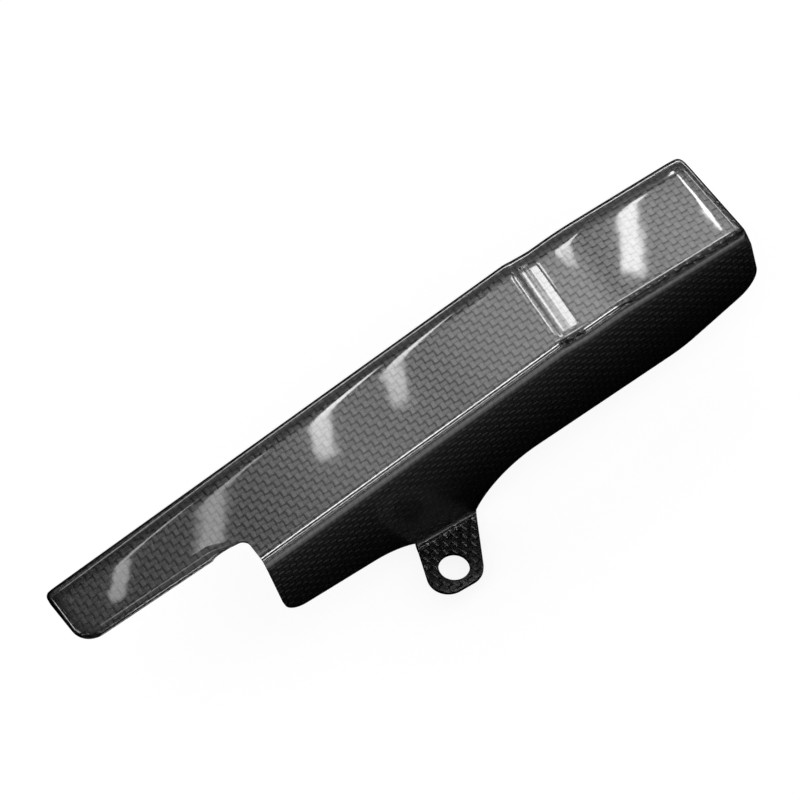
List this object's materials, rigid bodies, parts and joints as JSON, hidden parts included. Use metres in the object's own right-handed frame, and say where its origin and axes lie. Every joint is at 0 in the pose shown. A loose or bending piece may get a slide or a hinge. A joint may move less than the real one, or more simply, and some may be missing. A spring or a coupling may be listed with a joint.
{
  "type": "motorcycle chain guard",
  "caption": "Long channel-shaped cover for the upper run of a drive chain: plate folded into a side wall, rolled lips, narrow front tongue, stepped rear end and a bolt ear on the wall.",
  "frame": {"origin": "middle of the bolt hole, on the face of the ear that seats on the bracket", "axes": "+X along the guard from the tip of the tongue to the rear end, +Y in from the wall to the far lip, +Z out of the plate's outer face"},
  "size_m": [0.294, 0.0706, 0.0731],
  "materials": {
    "carbon_laminate": "plain-weave carbon-fibre laminate under a polished clear coat"
  },
  "bodies": {
    "root": {"guard_shell": "carbon_laminate"}
  },
  "joints": []
}
